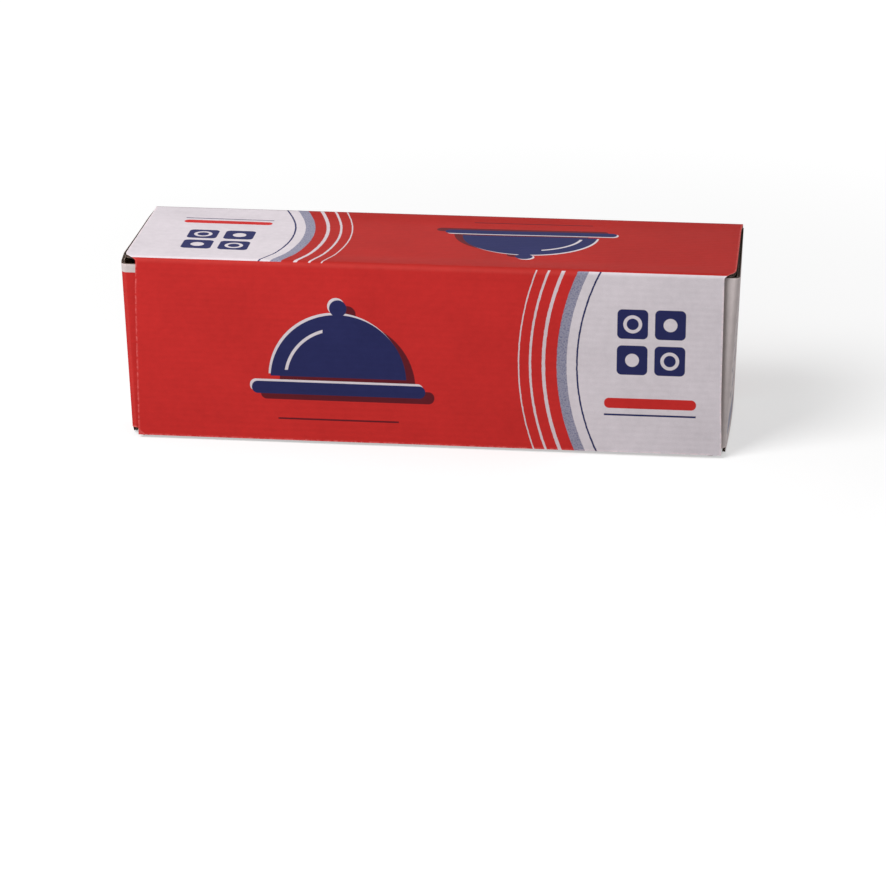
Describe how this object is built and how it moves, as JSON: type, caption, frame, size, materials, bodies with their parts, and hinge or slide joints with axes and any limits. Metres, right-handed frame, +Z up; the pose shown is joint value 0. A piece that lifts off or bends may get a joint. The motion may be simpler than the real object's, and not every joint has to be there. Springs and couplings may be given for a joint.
{
  "type": "boxed aluminium foil roll",
  "caption": "Cutter box of corrugated board with a hinged lid and full-height front flap, a serrated strip and a wide roll of aluminium foil on a core.",
  "frame": {"origin": "middle of the closed box's footprint, on the surface it stands on", "axes": "+X along the box, to the right seen from the front; the lid's front flap faces -Y; +Z is up"},
  "size_m": [0.32, 0.098, 0.1],
  "materials": {
    "board": "matte",
    "strip_steel": "satin",
    "foil": "satin",
    "core_board": "matte"
  },
  "bodies": {
    "carton": {"carton_tray": "board"},
    "lid": {"carton_lid": "board", "cutter_strip": "strip_steel"},
    "roll": {"foil_roll": "foil", "core_tube": "core_board"}
  },
  "joints": [
    {"name": "lid_hinge", "type": "hinge", "parent": "carton", "child": "lid", "pos_m": [0, 0.049, 0.0984], "axis": [-1, 0, 0], "range_deg": [0, 125]},
    {"name": "roll_turn", "type": "hinge", "parent": "carton", "child": "roll", "pos_m": [0, 0.0012, 0.04705], "axis": [1, 0, 0], "continuous": true}
  ]
}
